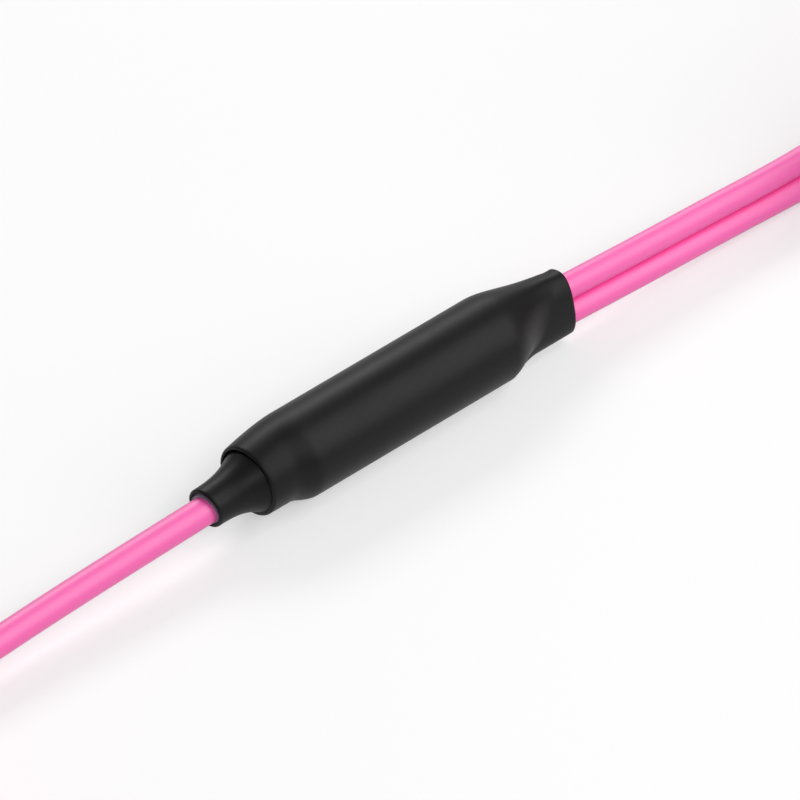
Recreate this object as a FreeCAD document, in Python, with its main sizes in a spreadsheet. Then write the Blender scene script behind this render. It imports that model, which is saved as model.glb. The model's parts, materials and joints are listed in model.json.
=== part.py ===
import FreeCAD, Part
import math
import os

import Sketcher

# Fibre breakout cable: one trunk cable, a heat-shrunk breakout body and two legs, each cable ending
# in a multi-fibre push-on plug. +X runs along the body from the trunk to the legs, +Z is up, and the
# origin is under the middle of the body, on the surface that it lies on. Millimetres and degrees.

DRIVING = {
    # cables
    "trunk_d": 3.0,
    "leg_d": 2.7,
    "cable_inset": 0.6,
    "fit_gap": 0.05,
    "leg_gap": 0.025,
    # outer sleeve, from its mouth to its collar
    "sleeve_wall": 0.5,
    "neck_d": 7.65,
    "neck_len": 3.3,
    "flare_len": 3.2,
    "straight_len": 26.15,
    "taper_len": 6.0,
    "collar_len": 4.0,
    "collar_room_tall": 0.775,
    "collar_room_wide": 0.4,
    "collar_drop": 0.4,
    "collar_tilt": 14.0,
    # boot on the trunk, with its adhesive lining
    "boot_reach": 5.45,
    "boot_rim_d": 4.3,
    "boot_rim_len": 1.6,
    "boot_wall": 0.4,
    "boot_grip_len": 5.0,
    "mouth_gap": 0.12,
    "liner_inset": 0.2,
    "liner_gap": 0.025,
    # stiff tube and what it holds
    "tube_wall": 0.7,
    "crimp_len": 4.0,
    "leg_plug_len": 4.0,
    "leg_plug_web": 0.2375,
    "cable_grip": 1.0,
    "fibre_group_d": 0.9,
    "fibre_spread": 1.2,
    # hanks of the put-away length, and their ties
    "tie_wall": 0.6,
    "tie_width": 10.0,
    "tie_corner": 2.5,
    "trunk_run": 45.0,
    "trunk_fold": 9.0,
    "trunk_hank_tall": 8.0,
    "trunk_hank_x": -77.0,
    "trunk_lane_y": -1.5,
    "leg_run": 40.5,
    "leg_fold": 8.1,
    "leg_lane_gap": 3.2,
    "leg_hank_tall": 11.2,
    "leg_hank_x": 78.0,
    "leg_lane_y": 1.5,
    # places of the three plugs, at the rear of each boot
    "trunk_plug_x": -84.0,
    "trunk_plug_y": -1.6,
    "leg_1_plug_x": 85.0,
    "leg_1_plug_y": -1.6,
    "leg_2_plug_x": 111.5,
    "leg_2_plug_y": -17.0,
    # multi-fibre plug, from its boot to its ferrule
    "plug_slip": 0.1,
    "plug_boot_len": 18.0,
    "plug_boot_rear_d": 4.6,
    "plug_boot_front_d": 7.0,
    "plug_rib_wide": 1.2,
    "plug_rib_deep": 0.45,
    "ring_d": 5.3,
    "ring_wall": 0.4,
    "ring_len": 6.0,
    "stem_wall": 0.6,
    "block_w": 8.4,
    "block_t": 4.7,
    "block_len": 9.0,
    "block_gap": 1.5,
    "block_out": 2.5,
    "housing_wall": 0.75,
    "housing_len": 24.0,
    "nose_len": 4.0,
    "key_w": 3.0,
    "key_t": 0.7,
    "key_len": 4.0,
    "key_inset": 0.4,
    "latch_len": 1.6,
    "latch_t": 3.0,
    "latch_deep": 0.4,
    "latch_inset": 0.2,
    "ferrule_w": 6.4,
    "ferrule_t": 2.5,
    "ferrule_reach": 1.6,
    "ferrule_lip": 0.5,
    "ferrule_lip_len": 2.5,
    "guide_hole_d": 0.7,
    "guide_pitch": 4.6,
    "spring_wire": 0.45,
    "spring_d": 3.6,
    "coupling_w": 12.4,
    "coupling_t": 7.8,
    "coupling_len": 15.0,
    "coupling_back": 4.0,
    "coupling_slip": 0.12,
    "grip_t": 0.3,
    "grip_w": 8.8,
    "corner": 0.6,
    "edge_break": 0.3,
    "ferrule_corner": 0.15,
}

RIBS_ON_BOOT = 4
RIBS_ON_GRIP = 4
SPRING_TURNS = 5
SPRING_SIDES = 10

# How the sleeve draws in: share of the taper's length, and share of the change from round to oval
TAPER_STEPS = ((0, 0), (0.12, 0.04), (0.5, 0.56), (0.85, 0.96), (1, 1))
# Share of the shorter run that a bend in a cable takes up
BEND_SHARE = 0.45

DOC = FreeCAD.newDocument("FibreBreakoutCable")
SHEET = DOC.addObject("Spreadsheet::Sheet", "Sizes")
SUB_PARTS = []


class Size:
    """A length: its present value, and the formula that ties it to the sheet."""

    def __init__(self, value, formula):
        self.value = value
        self.formula = formula

    def __add__(self, other):
        other = as_size(other)
        return Size(self.value + other.value, f"({self.formula} + {other.formula})")

    def __sub__(self, other):
        other = as_size(other)
        return Size(self.value - other.value, f"({self.formula} - {other.formula})")

    def __mul__(self, other):
        other = as_size(other)
        return Size(self.value * other.value, f"({self.formula} * {other.formula})")

    def __truediv__(self, other):
        other = as_size(other)
        return Size(self.value / other.value, f"({self.formula} / {other.formula})")

    def __neg__(self):
        return Size(-self.value, f"(-{self.formula})")


def as_size(number):
    """A plain number as a length of its own, or the length that is given."""
    if isinstance(number, Size):
        return number
    return Size(float(number), f"({number})")


def fill_sheet():
    """Write the driving dimensions to the sheet and return them as lengths by name."""
    sizes = {}
    for row, (alias, value) in enumerate(DRIVING.items(), start=1):
        SHEET.set(f"A{row}", alias.replace("_", " "))
        SHEET.set(f"B{row}", str(value))
        SHEET.setAlias(f"B{row}", alias)
        sizes[alias] = Size(value, f"Sizes.{alias}")
    DOC.recompute()
    return sizes


S = fill_sheet()
NIL = as_size(0)

# Stations along the body
BODY_LEN = (
    S["boot_reach"] + S["neck_len"] + S["flare_len"] + S["straight_len"] + S["taper_len"] + S["collar_len"]
)
BOOT_X = -(BODY_LEN / 2)
SLEEVE_X = BOOT_X + S["boot_reach"]
STRAIGHT_X = SLEEVE_X + S["neck_len"] + S["flare_len"]
TAPER_X = STRAIGHT_X + S["straight_len"]
COLLAR_X = TAPER_X + S["taper_len"]
END_X = COLLAR_X + S["collar_len"]

# Radii from the legs outwards, so that the sleeve takes the legs, their plug and the stiff tube
TRUNK_R = S["trunk_d"] / 2
LEG_R = S["leg_d"] / 2
LEG_OFF = LEG_R + S["leg_gap"] / 2
CORE_R = LEG_OFF + LEG_R + S["collar_drop"] + S["leg_plug_web"]
BORE_R = CORE_R + S["fit_gap"]
TUBE_R = BORE_R + S["tube_wall"]
SLEEVE_R = TUBE_R + S["fit_gap"] + S["sleeve_wall"]
COLLAR_TALL = (LEG_OFF + LEG_R + S["sleeve_wall"]) * 2 + S["collar_room_tall"]
COLLAR_WIDE = (LEG_R + S["sleeve_wall"]) * 2 + S["collar_room_wide"]
MOUTH_R = S["neck_d"] / 2 - S["sleeve_wall"]
FLARE_R = MOUTH_R - S["mouth_gap"]
AXIS_Z = SLEEVE_R
LEG_1_UP = LEG_OFF - S["collar_drop"]
LEG_2_UP = -LEG_OFF - S["collar_drop"]
TRUNK_STOP = S["crimp_len"] + S["cable_grip"]
LEG_STOP = S["leg_plug_len"] + S["cable_grip"]


def new_body(label):
    """An empty solid body that becomes the sub-part with this name."""
    body = DOC.addObject("PartDesign::Body", label)
    body.Label = label
    SUB_PARTS.append(body)
    return body


def place(item, x=NIL, y=NIL, z=NIL, turn=None, about=FreeCAD.Vector(1, 0, 0)):
    """Put a sub-part at x, y, z, turned about an axis, and tie its place to the sheet."""
    angle = as_size(0) if turn is None else turn
    base = FreeCAD.Vector(x.value, y.value, z.value)
    item.Placement = FreeCAD.Placement(base, FreeCAD.Rotation(about, angle.value))
    for axis, size in zip("xyz", (x, y, z)):
        item.setExpression(f"Placement.Base.{axis}", size.formula)
    if turn is not None:
        item.setExpression("Placement.Rotation.Angle", turn.formula)


def sketch_on(body, plane, offset=NIL):
    """A sketch on one of the body's own origin planes, moved along the plane's normal."""
    sketch = body.newObject("Sketcher::SketchObject", f"{body.Name}_sketch")
    support = next(item for item in body.Origin.OriginFeatures if item.Role == plane)
    sketch.AttachmentSupport = [(support, "")]
    sketch.MapMode = "FlatFace"
    sketch.AttachmentOffset = FreeCAD.Placement(FreeCAD.Vector(0, 0, offset.value), FreeCAD.Rotation())
    sketch.setExpression("AttachmentOffset.Base.z", offset.formula)
    return sketch


def bind(sketch, kind, where, size):
    """Add one dimension to a sketch and tie it to the sheet."""
    index = sketch.addConstraint(Sketcher.Constraint(kind, *where, size.value))
    name = f"dim_{index}"
    sketch.renameConstraint(index, name)
    sketch.setExpression(f"Constraints.{name}", size.formula)


def pin_point(sketch, geometry, vertex, x, y):
    """Fix one point of a sketch at x, y from its origin."""
    bind(sketch, "DistanceX", (-1, 1, geometry, vertex), x)
    bind(sketch, "DistanceY", (-1, 1, geometry, vertex), y)


def arc_between(start, end, radius, side):
    """Arc from start to end with its centre to the left (side 1) or right (side -1) of the chord."""
    chord = end - start
    half = chord.Length / 2
    across = FreeCAD.Vector(-chord.y, chord.x, 0)
    across.normalize()
    centre = (start + end) / 2 + across * (side * math.sqrt(max(radius * radius - half * half, 0)))
    first, last = (start, end) if side > 0 else (end, start)
    angles = [math.atan2(p.y - centre.y, p.x - centre.x) for p in (first, last)]
    return Part.ArcOfCircle(Part.Circle(centre, FreeCAD.Vector(0, 0, 1), radius), *angles)


def outline(sketch, corners):
    """Closed outline through corners (x, y), or (x, y, radius, side) where an arc leads to the next one."""
    points = [FreeCAD.Vector(corner[0].value, corner[1].value, 0) for corner in corners]
    ends = []
    for index, corner in enumerate(corners):
        start, end = points[index], points[(index + 1) % len(points)]
        if len(corner) == 2:
            ends.append((sketch.addGeometry(Part.LineSegment(start, end), False), 1, 2))
            continue
        radius, side = corner[2:]
        shape = arc_between(start, end, radius.value, side)
        order = (1, 2) if side > 0 else (2, 1)
        ends.append((sketch.addGeometry(shape, False), *order))
        bind(sketch, "Radius", (ends[-1][0],), radius)
    for index, corner in enumerate(corners):
        before, here = ends[index - 1], ends[index]
        sketch.addConstraint(Sketcher.Constraint("Coincident", before[0], before[2], here[0], here[1]))
        pin_point(sketch, here[0], here[1], corner[0], corner[1])


def circle(sketch, radius, x=NIL, y=NIL):
    """A circle with its centre at x, y."""
    centre = FreeCAD.Vector(x.value, y.value, 0)
    index = sketch.addGeometry(Part.Circle(centre, FreeCAD.Vector(0, 0, 1), radius.value), False)
    bind(sketch, "Radius", (index,), radius)
    pin_point(sketch, index, 3, x, y)


def rectangle(sketch, width, height, corner=None, y=NIL):
    """A rectangle across the sketch's middle line, with rounded corners if a radius is given."""
    right, top, low = width / 2, y + height / 2, y - height / 2
    if corner is None:
        outline(sketch, [(-right, low), (right, low), (right, top), (-right, top)])
        return
    x_in, y_top, y_low = right - corner, top - corner, low + corner
    outline(
        sketch,
        [
            (-x_in, low),
            (x_in, low, corner, 1),
            (right, y_low),
            (right, y_top, corner, 1),
            (x_in, top),
            (-x_in, top, corner, 1),
            (-right, y_top),
            (-right, y_low, corner, 1),
        ],
    )


def extrude(kind, body, sketch, length, midplane):
    """Pad or pocket a sketch along its normal, or half each way."""
    feature = body.newObject(f"PartDesign::{kind}", f"{body.Name}_{kind.lower()}")
    feature.Profile = sketch
    feature.Length = length.value
    feature.setExpression("Length", length.formula)
    feature.Midplane = midplane
    return feature


def pad(body, sketch, length, midplane=False):
    """Raise a sketch along its normal, or half each way."""
    return extrude("Pad", body, sketch, length, midplane)


def notch(body, sketch, length):
    """Cut a sketch away, half of the length to each side of its plane."""
    return extrude("Pocket", body, sketch, length, True)


def ease_edges(body, solid, kind, size, wanted):
    """Fillet or chamfer the edges of a solid whose boxes pass a test."""
    DOC.recompute()
    feature = body.newObject(f"PartDesign::{kind}", f"{body.Name}_{kind.lower()}")
    edges = enumerate(solid.Shape.Edges, start=1)
    feature.Base = (solid, [f"Edge{number}" for number, edge in edges if wanted(edge.BoundBox)])
    measure = {"Fillet": "Radius", "Chamfer": "Size"}[kind]
    setattr(feature, measure, size.value)
    feature.setExpression(measure, size.formula)


def beyond(low, high, reach):
    """Whether a span of places goes further from zero than reach, by more than a fit gap."""
    return max(abs(low), abs(high)) > reach.value + S["fit_gap"].value


def round_rim(body, solid, reach, radius):
    """Round the edges of a flat ring's two faces that lie further than reach from its middle line."""

    def on_rim(box):
        return box.ZLength < S["fit_gap"].value and beyond(box.YMin, box.YMax, reach)

    ease_edges(body, solid, "Fillet", radius, on_rim)


def break_end(body, solid, end_x, wide, tall):
    """Chamfer the outer edges of a block's end at end_x, all round its window of that width and height."""

    def on_end(box):
        level = max(abs(box.XMin - end_x.value), abs(box.XMax - end_x.value)) < S["fit_gap"].value
        return level and (beyond(box.YMin, box.YMax, wide / 2) or beyond(box.ZMin, box.ZMax, tall / 2))

    ease_edges(body, solid, "Chamfer", S["edge_break"], on_end)


def turned(label, corners):
    """A body turned about the X axis from a closed outline of corners (x, radius)."""
    body = new_body(label)
    sketch = sketch_on(body, "XZ_Plane")
    outline(sketch, corners)
    feature = body.newObject("PartDesign::Revolution", f"{label}_turn")
    feature.Profile = sketch
    feature.ReferenceAxis = (sketch, ["H_Axis"])
    feature.Angle = 360
    return body


def tube(label, inner, outer, start, length):
    """A plain turned tube."""
    stop = start + length
    return turned(label, [(start, inner), (stop, inner), (stop, outer), (start, outer)])


def rod(label, radius, start, length, up=NIL):
    """A straight round rod along X, its centre raised by up."""
    body = new_body(label)
    sketch = sketch_on(body, "YZ_Plane", start)
    circle(sketch, radius, NIL, up)
    pad(body, sketch, length)
    return body


def tangent_radius(run, rise):
    """Radius of an arc that leaves a line along it and climbs by rise over run."""
    return (run * run + rise * rise) / (rise * 2)


def loft(body, kind, sections):
    """Join or cut a solid through round or oval sections, each (x, radius, up)."""
    sketches = []
    for x, radius, up in sections:
        sketches.append(sketch_on(body, "YZ_Plane", x))
        circle(sketches[-1], radius, NIL, up)
    feature = body.newObject(f"PartDesign::{kind}", f"{body.Name}_loft")
    feature.Profile = sketches[0]
    feature.Sections = sketches[1:]


def oval(label, x, tall, wide, up):
    """An upright ellipse across the X axis, as one section of a loft."""
    item = DOC.addObject("Part::Ellipse", label)
    item.MajorRadius = tall.value / 2
    item.MinorRadius = wide.value / 2
    item.setExpression("MajorRadius", (tall / 2).formula)
    item.setExpression("MinorRadius", (wide / 2).formula)
    tall_way, wide_way = FreeCAD.Vector(0, 0, 1), FreeCAD.Vector(0, 1, 0)
    upright = FreeCAD.Rotation(tall_way, wide_way, FreeCAD.Vector(1, 0, 0), "XYZ")
    item.Placement = FreeCAD.Placement(FreeCAD.Vector(x.value, 0, up.value), upright)
    item.setExpression("Placement.Base.x", x.formula)
    item.setExpression("Placement.Base.z", up.formula)
    return item


def sleeve_skin(label, inset):
    """Closed outer form of the sleeve, or of its hollow when an inset is given."""
    neck, full = S["neck_d"] / 2 - inset, SLEEVE_R - inset
    neck_x = S["neck_len"]
    full_x = neck_x + S["flare_len"]
    taper_x = full_x + S["straight_len"]
    collar_x = taper_x + S["taper_len"]
    end_x = collar_x + S["collar_len"]
    half_run, half_rise = S["flare_len"] / 2, (full - neck) / 2
    bend = tangent_radius(half_run, half_rise)
    turned_form = turned(
        f"{label}_turned",
        [
            (NIL, NIL),
            (taper_x, NIL),
            (taper_x, full),
            (full_x, full, bend, 1),
            (neck_x + half_run, neck + half_rise, bend, -1),
            (neck_x, neck),
            (NIL, neck),
        ],
    )
    SUB_PARTS.remove(turned_form)
    tall, wide = COLLAR_TALL - inset * 2, COLLAR_WIDE - inset * 2
    sections = []
    for part, (along, blend) in enumerate(TAPER_STEPS):
        x = taper_x + S["taper_len"] * along
        height = full * (2 - 2 * blend) + tall * blend
        width = full * (2 - 2 * blend) + wide * blend
        sections.append(oval(f"{label}_oval_{part}", x, height, width, -(S["collar_drop"] * blend)))
    sections.append(oval(f"{label}_oval_end", end_x, tall, wide, -S["collar_drop"]))
    taper = DOC.addObject("Part::Loft", f"{label}_taper")
    taper.Sections = sections
    taper.Solid = True
    taper.Ruled = False
    form = DOC.addObject("Part::MultiFuse", f"{label}_form")
    form.Shapes = [turned_form, taper]
    return form


def build_sleeve():
    """The heat-shrink sleeve: neck, straight middle, and the oval collar on the two legs."""
    sleeve = DOC.addObject("Part::Cut", "outer_sleeve")
    sleeve.Label = "outer_sleeve"
    sleeve.Base = sleeve_skin("skin", NIL)
    sleeve.Tool = sleeve_skin("hollow", S["sleeve_wall"])
    SUB_PARTS.append(sleeve)
    place(sleeve, SLEEVE_X, NIL, AXIS_Z, -S["collar_tilt"])


def build_boot():
    """The trunk's boot, a flared heat-shrink wall, and the adhesive that fills it round the cable."""
    rim_x, reach, wall = S["boot_rim_len"], S["boot_reach"], S["boot_wall"]
    stop, rim = reach + S["boot_grip_len"], S["boot_rim_d"] / 2
    bend = tangent_radius(reach - rim_x, FLARE_R - rim)

    def flare(inset, start):
        low, high = rim - inset, FLARE_R - inset
        return [(start, low), (rim_x, low, bend, 1), (reach, high), (stop, high)]

    wide, narrow = FLARE_R - wall, rim - wall
    inside = [(stop, wide), (reach, wide, bend, -1), (rim_x, narrow), (NIL, narrow)]
    start, bore = S["liner_inset"], TRUNK_R + S["liner_gap"]
    boot = turned("trunk_boot", flare(NIL, NIL) + inside)
    liner = turned("boot_liner", flare(wall + S["liner_gap"], start) + [(stop, bore), (start, bore)])
    for piece in (boot, liner):
        place(piece, BOOT_X, NIL, AXIS_Z)


def build_core():
    """What the sleeve holds: the stiff tube, the cable ends in it, the fibres and their potting."""
    tilt = -S["collar_tilt"]
    length = S["straight_len"]
    pieces = [
        tube("furcation_tube", BORE_R, TUBE_R, NIL, length),
        tube("trunk_crimp", TRUNK_R + S["fit_gap"], CORE_R, NIL, S["crimp_len"]),
    ]
    lead = STRAIGHT_X - BOOT_X - S["cable_inset"]
    pieces.append(rod("trunk_end", TRUNK_R, -lead, lead + TRUNK_STOP))
    plug = new_body("leg_plug")
    face = sketch_on(plug, "YZ_Plane", length - S["leg_plug_len"])
    circle(face, CORE_R)
    for up in (LEG_1_UP, LEG_2_UP):
        circle(face, LEG_R + S["leg_gap"] / 4, NIL, up)
    pad(plug, face, S["leg_plug_len"])
    pieces.append(plug)
    leg_start = length - LEG_STOP
    leg_len = END_X - STRAIGHT_X - S["cable_inset"] - leg_start
    pieces.append(rod("leg_1_end", LEG_R, leg_start, leg_len, LEG_1_UP))
    pieces.append(rod("leg_2_end", LEG_R, leg_start, leg_len, LEG_2_UP))
    potting = rod("potting", CORE_R, TRUNK_STOP, leg_start - TRUNK_STOP)
    for number, up in ((1, LEG_1_UP), (2, LEG_2_UP)):
        spread = S["fibre_spread"] / 2 * (3 - 2 * number)
        radius = S["fibre_group_d"] / 2
        group = new_body(f"fibre_group_{number}")
        loft(group, "AdditiveLoft", [(TRUNK_STOP, radius, spread), (leg_start, radius, up)])
        room = radius + S["fit_gap"]
        loft(potting, "SubtractiveLoft", [(TRUNK_STOP, room, spread), (leg_start, room, up)])
        pieces.append(group)
    for piece in pieces + [potting]:
        place(piece, STRAIGHT_X, NIL, AXIS_Z, tilt)


def rounded_path(points):
    """Wire of straight runs joined by tangent arcs, each as large as its two runs allow, and the radii."""
    edges, radii = [], []
    here = points[0]
    for before, corner, after in zip(points, points[1:], points[2:]):
        into, out = corner - before, after - corner
        turn = into.getAngle(out)
        reach = BEND_SHARE * min(into.Length, out.Length)
        radii.append(reach / math.tan(turn / 2))
        into.normalize()
        out.normalize()
        start, end = corner - into * reach, corner + out * reach
        towards = (out - into).normalize()
        middle = corner + towards * (radii[-1] / math.cos(turn / 2) - radii[-1])
        edges += [Part.LineSegment(here, start).toShape(), Part.Arc(start, middle, end).toShape()]
        here = end
    edges.append(Part.LineSegment(here, points[-1]).toShape())
    return Part.Wire(edges), radii


def cable(label, diameter, route):
    """Plain tube along a cable's route; the route's points are places chosen by hand."""
    points = [FreeCAD.Vector(*point) for point in route]
    path, radii = rounded_path(points)
    face = Part.Circle(points[0], points[1] - points[0], diameter.value / 2).toShape()
    item = DOC.addObject("Part::Feature", label)
    item.Label = label
    item.Shape = path.makePipeShell([Part.Wire(face)], True, False)
    SUB_PARTS.append(item)
    swept = item.Shape.Volume / (math.pi * diameter.value**2 / 4 * path.Length)
    print(f"{label}: length {path.Length:.1f}, least radius {min(radii):.1f}, volume {swept:.4f}")


TRUNK_ROUTE = [
    (-23.45, 0.0, 4.65),
    (-34.0, 0.0, 4.38),
    (-46.0, -0.1, 3.84),
    (-57.0, -0.5, 3.15),
    (-67.0, -1.1, 2.45),
    (-76.0, -1.45, 2.17),
]
TRUNK_TAIL_ROUTE = [
    (-72.0, -3.7, 11.6),
    (-78.4, -1.9, 13.2),
    (-84.8, -1.6, 13.6),
]
LEG_1_ROUTE = [
    (23.45, 0.23, 5.57),
    (34.0, 0.23, 5.0),
    (45.0, 0.26, 4.44),
    (55.0, 0.5, 4.0),
    (64.0, 0.95, 3.3),
    (72.0, 1.4, 2.4),
    (79.0, 1.5, 2.0),
]
LEG_2_ROUTE = [
    (23.45, -0.43, 2.94),
    (34.0, -0.44, 2.37),
    (45.0, -0.5, 1.8),
    (55.0, -0.8, 1.5),
    (64.0, -1.3, 1.52),
    (72.0, -1.65, 1.75),
    (79.0, -1.7, 1.98),
]
LEG_1_TAIL_ROUTE = [
    (73.0, 0.5, 14.8),
    (79.4, -1.3, 16.4),
    (85.8, -1.6, 16.8),
]
LEG_2_TAIL_ROUTE = [
    (123.5, -15.3, 14.9),
    (117.1, -16.8, 16.5),
    (110.7, -17.0, 16.8),
]
ROUTES = {
    "trunk_cable": ("trunk_d", TRUNK_ROUTE),
    "trunk_tail": ("trunk_d", TRUNK_TAIL_ROUTE),
    "leg_1_cable": ("leg_d", LEG_1_ROUTE),
    "leg_2_cable": ("leg_d", LEG_2_ROUTE),
    "leg_1_tail": ("leg_d", LEG_1_TAIL_ROUTE),
    "leg_2_tail": ("leg_d", LEG_2_TAIL_ROUTE),
}


def build_cables():
    """The stretches of the three cables that aren't wound up."""
    for label, (diameter, route) in ROUTES.items():
        cable(label, S[diameter], route)


def build_hank(name, inner, outer, run, tall, middle_x, lane_y):
    """Outer form of a wound hank, a flat ring with round ends, and the strap round its middle."""
    shy, wall = S["fit_gap"], S["tie_wall"]
    middle_y = lane_y - outer
    hank = new_body(f"{name}_hank")
    face = sketch_on(hank, "XY_Plane")
    rectangle(face, run + outer * 2, outer * 2, outer - shy)
    rectangle(face, run + inner * 2, inner * 2, inner - shy)
    round_rim(hank, pad(hank, face, tall), inner, S["tie_corner"] - shy)
    place(hank, middle_x, middle_y, wall + shy)
    tie = new_body(f"{name}_tie")
    loop = sketch_on(tie, "YZ_Plane", -(S["tie_width"] / 2))
    inside_w, inside_t = (outer + shy) * 2, tall + shy * 2
    rectangle(loop, inside_w + wall * 2, inside_t + wall * 2, S["tie_corner"] + wall)
    rectangle(loop, inside_w, inside_t, S["tie_corner"])
    pad(tie, loop, S["tie_width"])
    place(tie, middle_x, middle_y, wall + shy + tall / 2)


def build_hanks():
    """The two hanks: the trunk's by itself, and the two legs wound side by side."""
    half = TRUNK_R
    fold, run = S["trunk_fold"], S["trunk_run"]
    middle = S["trunk_hank_x"] - run / 2
    build_hank("trunk", fold - half, fold + half, run, S["trunk_hank_tall"], middle, S["trunk_lane_y"] + half)
    half = LEG_R
    fold, run = S["leg_fold"], S["leg_run"]
    outer = fold + S["leg_lane_gap"] + half
    middle = S["leg_hank_x"] + run / 2
    build_hank("legs", fold - half, outer, run, S["leg_hank_tall"], middle, S["leg_lane_y"] + half)


# Stations along a plug, from the rear of its boot
RING_X = S["plug_boot_len"] - S["ring_len"]
BLOCK_X = S["plug_boot_len"] + S["block_gap"]
HOUSING_X = BLOCK_X + S["block_out"]
NOSE_X = HOUSING_X + S["housing_len"] - S["nose_len"]
FRONT_X = HOUSING_X + S["housing_len"]
COUPLING_X = HOUSING_X + S["coupling_back"]
LIP_X = NOSE_X - S["fit_gap"] - S["ferrule_lip_len"]
CAVITY_W = S["block_w"] + S["plug_slip"] * 2
CAVITY_T = S["block_t"] + S["plug_slip"] * 2
HOUSING_W = CAVITY_W + S["housing_wall"] * 2
HOUSING_T = CAVITY_T + S["housing_wall"] * 2
STEM_R = S["ring_d"] / 2 - S["ring_wall"] - S["fit_gap"]
STEM_BORE_R = STEM_R - S["stem_wall"]


def plug_boot(name, cable_r):
    """Tapered strain relief with rings cut into it, over the cable and the crimp ring."""
    rear, front, length = S["plug_boot_rear_d"] / 2, S["plug_boot_front_d"] / 2, S["plug_boot_len"]
    slope = (front - rear) / length
    bore, room = cable_r + S["fit_gap"], S["ring_d"] / 2 + S["fit_gap"]
    step = RING_X - S["fit_gap"]
    corners = [(length, front), (length, room), (step, room), (step, bore), (NIL, bore), (NIL, rear)]
    pitch = RING_X / (RIBS_ON_BOOT + 1)
    for rib in range(1, RIBS_ON_BOOT + 1):
        start = pitch * rib - S["plug_rib_wide"] / 2
        stop = pitch * rib + S["plug_rib_wide"] / 2
        low = rear + slope * start - S["plug_rib_deep"]
        corners += [(start, rear + slope * start), (start, low), (stop, low), (stop, rear + slope * stop)]
    return turned(f"{name}_strain_boot", corners)


def plug_rear_body(name):
    """The stem that the ring crimps on, and the block that closes the housing and backs the spring."""
    body = new_body(f"{name}_rear_body")
    stem = sketch_on(body, "YZ_Plane", RING_X)
    circle(stem, STEM_R)
    circle(stem, STEM_BORE_R)
    pad(body, stem, BLOCK_X - RING_X)
    block = sketch_on(body, "YZ_Plane", BLOCK_X)
    rectangle(block, S["block_w"], S["block_t"], S["corner"])
    circle(block, STEM_BORE_R)
    pad(body, block, S["block_len"])
    return body


def plug_housing(name):
    """Rectangular housing: the ferrule's window in its nose, a key rail on top, a latch notch in each side."""
    body = new_body(f"{name}_inner_housing")
    for start, length, window in (
        (HOUSING_X, S["housing_len"] - S["nose_len"], (CAVITY_W, CAVITY_T)),
        (NOSE_X, S["nose_len"], (S["ferrule_w"] + S["plug_slip"] * 2, S["ferrule_t"] + S["plug_slip"] * 2)),
    ):
        wall = sketch_on(body, "YZ_Plane", start)
        rectangle(wall, HOUSING_W, HOUSING_T, S["corner"])
        rectangle(wall, *window, S["corner"] / 2)
        solid = pad(body, wall, length)
    break_end(body, solid, FRONT_X, *window)
    rail = sketch_on(body, "YZ_Plane", FRONT_X - S["key_inset"] - S["key_len"])
    rectangle(rail, S["key_w"], S["key_t"] * 2, None, HOUSING_T / 2)
    pad(body, rail, S["key_len"])
    # The coupling sleeve covers the latch notches until it slides back
    latches = sketch_on(body, "XY_Plane")
    stop = COUPLING_X + S["coupling_len"] - S["latch_inset"]
    start = stop - S["latch_len"]
    side = HOUSING_W / 2
    floor, clear = side - S["latch_deep"], side + S["latch_deep"]
    outline(latches, [(start, floor), (stop, floor), (stop, clear), (start, clear)])
    outline(latches, [(start, -clear), (stop, -clear), (stop, -floor), (start, -floor)])
    notch(body, latches, S["latch_t"])
    return body


def plug_coupling(name):
    """The outer sleeve that slides back to release the plug, with finger ridges above and below."""
    body = new_body(f"{name}_coupling_sleeve")
    wall = sketch_on(body, "YZ_Plane", COUPLING_X)
    rectangle(wall, S["coupling_w"], S["coupling_t"], S["corner"] * 2)
    opening = HOUSING_W + S["coupling_slip"] * 2, HOUSING_T + S["coupling_slip"] * 2
    rectangle(wall, *opening, S["corner"])
    solid = pad(body, wall, S["coupling_len"])
    for end in (COUPLING_X, COUPLING_X + S["coupling_len"]):
        break_end(body, solid, end, *opening)
        solid = body.Tip
    ridges = sketch_on(body, "XZ_Plane")
    pitch = S["coupling_len"] / (RIBS_ON_GRIP + 2)
    top, root = S["coupling_t"] / 2 + S["grip_t"], S["coupling_t"] / 2 - S["grip_t"]
    for ridge in range(RIBS_ON_GRIP):
        start = COUPLING_X + pitch * (ridge + 1)
        stop = start + pitch / 2
        outline(ridges, [(start, root), (stop, root), (stop, top), (start, top)])
        outline(ridges, [(start, -top), (stop, -top), (stop, -root), (start, -root)])
    pad(body, ridges, S["grip_w"], True)
    return body


def plug_ferrule(name):
    """The ferrule: its lip behind the nose, and the block that carries the fibre ends and guide holes."""
    body = new_body(f"{name}_ferrule")
    out = S["ferrule_lip"] * 2
    lip = sketch_on(body, "YZ_Plane", LIP_X)
    rectangle(lip, S["ferrule_w"] + out, S["ferrule_t"] + out, S["corner"] / 2)
    pad(body, lip, S["ferrule_lip_len"])
    block = sketch_on(body, "YZ_Plane", NOSE_X - S["fit_gap"])
    rectangle(block, S["ferrule_w"], S["ferrule_t"], S["ferrule_corner"])
    for side in (-1, 1):
        circle(block, S["guide_hole_d"] / 2, S["guide_pitch"] / 2 * side)
    pad(body, block, S["fit_gap"] + S["nose_len"] + S["ferrule_reach"])
    return body


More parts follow.
